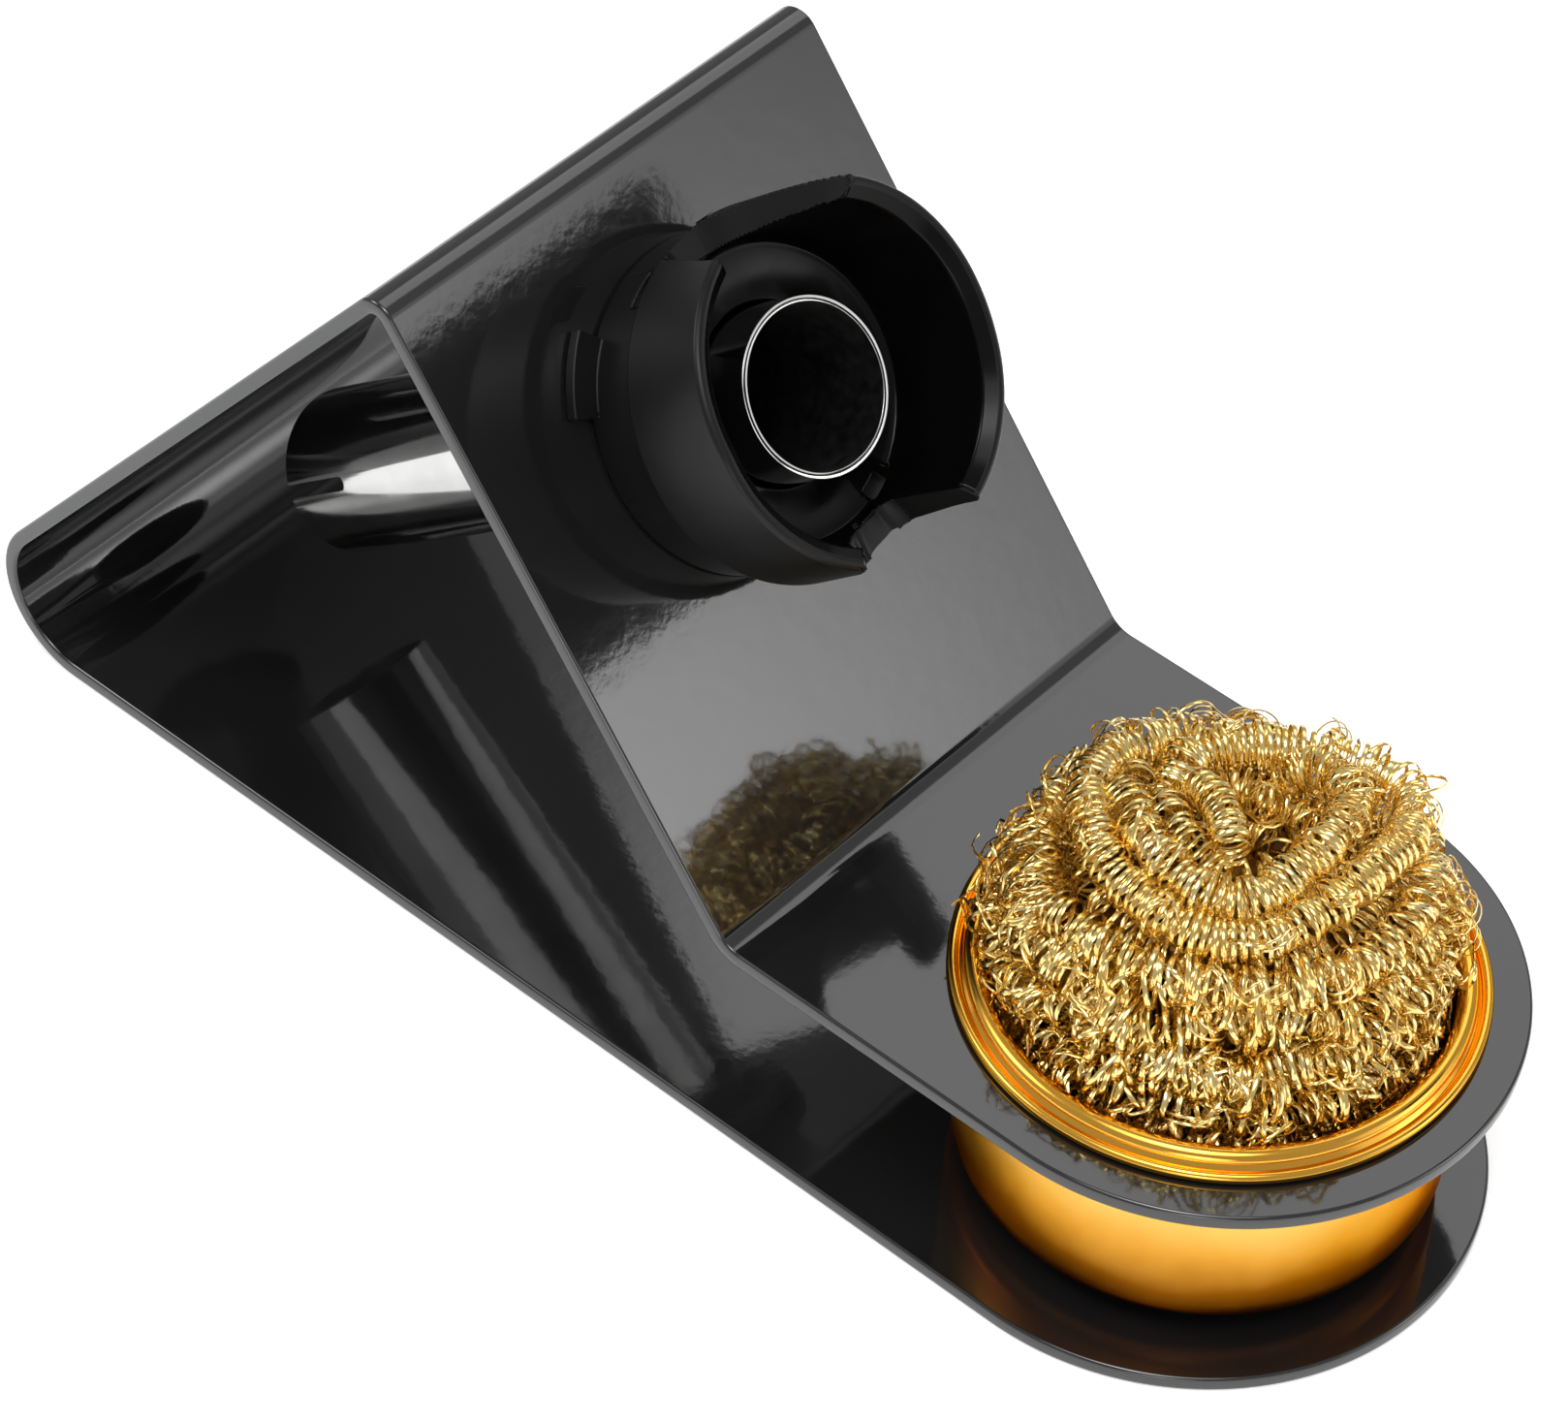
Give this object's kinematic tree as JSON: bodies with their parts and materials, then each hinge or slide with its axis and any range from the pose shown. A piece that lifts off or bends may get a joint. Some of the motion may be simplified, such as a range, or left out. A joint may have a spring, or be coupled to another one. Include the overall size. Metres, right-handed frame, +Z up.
{
  "type": "soldering iron stand",
  "caption": "Bent sheet-metal bench stand with a slanted funnel and steel guide tube for a soldering iron, and a lift-out tin of brass wool in its front shelf.",
  "frame": {"origin": "on the bench surface, at the middle of the stand's length and width", "axes": "+X forwards, from the rear bend to the tin; +Y across the stand; +Z up"},
  "size_m": [0.1941, 0.07, 0.0995],
  "materials": {
    "powder_coated_sheet": "satin",
    "holder_plastic": "satin",
    "ring_plastic": "satin",
    "polished_tube": "polished",
    "anodised_tin": "satin",
    "wool": "satin"
  },
  "bodies": {
    "stand": {"stand_body": "powder_coated_sheet", "iron_holder": "holder_plastic", "holder_lock_ring": "ring_plastic", "guide_tube": "polished_tube"},
    "tin": {"wool_tin": "anodised_tin"},
    "wool": {"brass_wool": "wool"}
  },
  "joints": [
    {"name": "tin_lift", "type": "slide", "parent": "stand", "child": "tin", "axis": [0, 0, 1], "range_m": [0, 0.04]},
    {"name": "wool_lift", "type": "slide", "parent": "tin", "child": "wool", "axis": [0, 0, 1], "range_m": [0, 0.035]}
  ]
}
